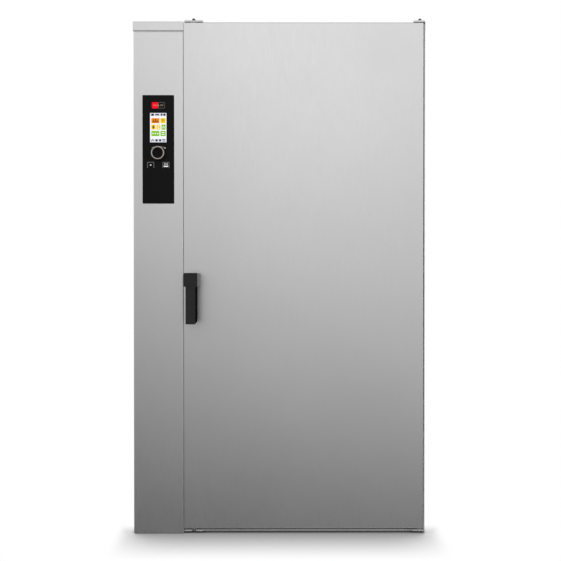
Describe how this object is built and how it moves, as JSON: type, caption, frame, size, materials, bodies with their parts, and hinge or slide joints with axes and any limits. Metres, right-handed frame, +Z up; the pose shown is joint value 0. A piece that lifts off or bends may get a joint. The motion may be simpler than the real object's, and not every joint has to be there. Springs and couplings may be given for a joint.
{
  "type": "roll-in combination oven with a regeneration setting",
  "caption": "Tall floor-standing steel oven for a roll-in trolley, with one full-height door, a lever latch and a control column at the left.",
  "frame": {"origin": "on the floor under the middle of the whole appliance, handle and rear connections included", "axes": "+Z up; the door and the controls face -Y; +X to the right as seen from the front"},
  "size_m": [1.095, 1.145, 1.98],
  "materials": {
    "outer_steel": "satin, brushed",
    "chamber_steel": "bright rolled",
    "galvanised_sheet": "zinc coated, dull",
    "zinc_steel": "zinc plated",
    "machined_steel": "turned, bright",
    "heater_sheath": "heat-tinted sheath",
    "motor_paint": "black-grey enamel",
    "grey_casting": "grey satin paint",
    "knob_metal": "turned, anodised",
    "copper_pipe": "drawn copper tube",
    "brass_fitting": "machined brass",
    "black_glass": "gloss, black printed",
    "display_glass": "gloss",
    "clear_glass": "clear",
    "silicone": "matte silicone",
    "mineral_wool": "loose wool board",
    "dark_plastic": "moulded, fine grain",
    "grip_plastic": "moulded, satin",
    "device_plastic": "moulded, light grey",
    "bush_plastic": "turned, off-white",
    "circuit_board": "green lacquer"
  },
  "bodies": {
    "cabinet": {"base_pan": "galvanised_sheet", "levelling_feet": "zinc_steel", "threshold_strip": "outer_steel", "front_frame": "outer_steel", "door_gasket": "silicone", "chamber_liner": "chamber_steel", "chamber_insulation": "mineral_wool", "partition_wall": "outer_steel", "left_side_panel": "outer_steel", "right_side_panel": "outer_steel", "rear_panel": "outer_steel", "service_cover": "outer_steel", "roof_panel": "outer_steel", "column_front_panel": "outer_steel", "trolley_guides": "chamber_steel", "fan_motors": "motor_paint", "shaft_seals": "chamber_steel", "ring_heaters": "heater_sheath", "baffle_mounts": "chamber_steel", "lamp_housings": "chamber_steel", "lamp_glasses": "clear_glass", "water_pipe": "copper_pipe", "solenoid_valve": "brass_fitting", "drain_outlet": "chamber_steel", "vent_pipe": "chamber_steel", "vent_actuator": "dark_plastic", "chamber_probe": "chamber_steel", "door_switch": "dark_plastic", "control_glass": "black_glass", "glass_carrier": "dark_plastic", "display_module": "display_glass", "control_board": "circuit_board", "electrics_tray": "galvanised_sheet", "power_board": "circuit_board", "rail_devices": "device_plastic", "cable_gland": "dark_plastic", "cooling_fan_housing": "dark_plastic", "hinge_plates": "outer_steel", "keeper_plates": "outer_steel", "hinge_pins": "machined_steel"},
    "door": {"door_outer_skin": "outer_steel", "door_inner_panel": "chamber_steel", "door_insulation": "mineral_wool", "door_bushes": "bush_plastic", "handle_rosette": "machined_steel", "latch_case": "galvanised_sheet"},
    "handle": {"handle_boss": "grey_casting", "handle_grip": "grip_plastic", "latch_pinion": "machined_steel"},
    "upper_latch": {"upper_latch_rod": "machined_steel"},
    "lower_latch": {"lower_latch_rod": "machined_steel"},
    "fan_1": {"fan_wheel_1": "chamber_steel"},
    "fan_2": {"fan_wheel_2": "chamber_steel"},
    "baffle": {"fan_baffle": "chamber_steel"},
    "flap": {"vent_flap": "chamber_steel"},
    "cooling_rotor": {"cooling_fan_rotor": "dark_plastic"},
    "encoder": {"encoder_shaft": "machined_steel"},
    "knob": {"knob_core": "dark_plastic", "knob_ring": "knob_metal"}
  },
  "joints": [
    {"name": "door_hinge", "type": "hinge", "parent": "cabinet", "child": "door", "pos_m": [0.528, -0.4655, 0.96], "axis": [0, 0, 1], "range_deg": [0, 105]},
    {"name": "handle_turn", "type": "hinge", "parent": "door", "child": "handle", "pos_m": [-0.321, -0.4775, 0.955], "axis": [0, -1, 0], "range_deg": [0, 90]},
    {"name": "upper_rod_slide", "type": "slide", "parent": "door", "child": "upper_latch", "axis": [0, 0, -1], "range_m": [0, 0.02513]},
    {"name": "lower_rod_slide", "type": "slide", "parent": "door", "child": "lower_latch", "axis": [0, 0, 1], "range_m": [0, 0.02513]},
    {"name": "fan_1_spin", "type": "hinge", "parent": "cabinet", "child": "fan_1", "pos_m": [-0.297, 0.0285, 0.5], "axis": [1, 0, 0], "continuous": true},
    {"name": "fan_2_spin", "type": "hinge", "parent": "cabinet", "child": "fan_2", "pos_m": [-0.297, 0.0285, 1.4], "axis": [1, 0, 0], "continuous": true},
    {"name": "baffle_hinge", "type": "hinge", "parent": "cabinet", "child": "baffle", "pos_m": [-0.216, 0.3425, 0.95], "axis": [0, 0, 1], "range_deg": [0, 90]},
    {"name": "flap_turn", "type": "hinge", "parent": "cabinet", "child": "flap", "pos_m": [-0.4525, 0.2485, 1.847], "axis": [1, 0, 0], "range_deg": [0, 90]},
    {"name": "cooling_fan_spin", "type": "hinge", "parent": "cabinet", "child": "cooling_rotor", "pos_m": [-0.4525, 0.501, 1.707], "axis": [0, 1, 0], "continuous": true},
    {"name": "knob_push", "type": "slide", "parent": "cabinet", "child": "encoder", "axis": [0, 1, 0], "range_m": [0, 0.0005], "stiffness_N_per_m": 2000, "springref_m": -0.0002},
    {"name": "knob_turn", "type": "hinge", "parent": "encoder", "child": "knob", "pos_m": [-0.4525, -0.4875, 1.427], "axis": [0, 1, 0], "continuous": true}
  ],
  "couplings": [
    {"joint": "upper_rod_slide", "follows": "handle_turn", "m_per_rad": 0.016},
    {"joint": "lower_rod_slide", "follows": "handle_turn", "m_per_rad": 0.016}
  ]
}
